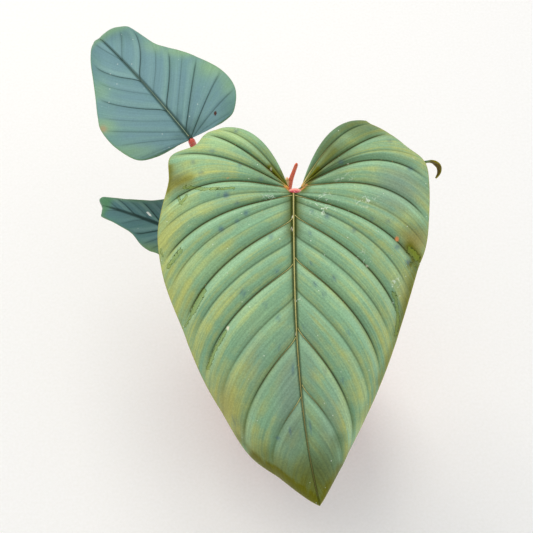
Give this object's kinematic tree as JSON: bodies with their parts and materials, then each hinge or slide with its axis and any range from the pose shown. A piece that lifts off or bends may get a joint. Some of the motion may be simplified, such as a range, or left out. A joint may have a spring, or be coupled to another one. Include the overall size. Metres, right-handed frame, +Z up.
{
  "type": "potted heart-leaf philodendron with pleated leaves",
  "caption": "House plant with large pleated heart-shaped blue-green leaves on red stalks, a rolled new leaf and a short stem, growing in soil in a plain round pot.",
  "frame": {"origin": "centre of the pot's flat base", "axes": "+Z up, out of the pot; -Y the way the large front leaf points"},
  "size_m": [0.3095, 0.4374, 0.4003],
  "materials": {
    "terracotta": "matt unglazed clay",
    "soil": "rough and crumbly",
    "stem": "satin, ringed with leaf scars",
    "petiole": "satin",
    "sheath": "satin",
    "old_blade": "waxy, matt",
    "young_blade": "waxy, matt"
  },
  "bodies": {
    "root": {"pot": "terracotta", "soil": "soil", "stem": "stem", "petiole_front": "petiole", "petiole_back": "petiole", "petiole_side": "petiole", "petiole_right": "petiole", "new_leaf": "sheath", "blade_front": "old_blade", "blade_back": "young_blade", "blade_side": "young_blade", "blade_right": "young_blade"}
  },
  "joints": []
}
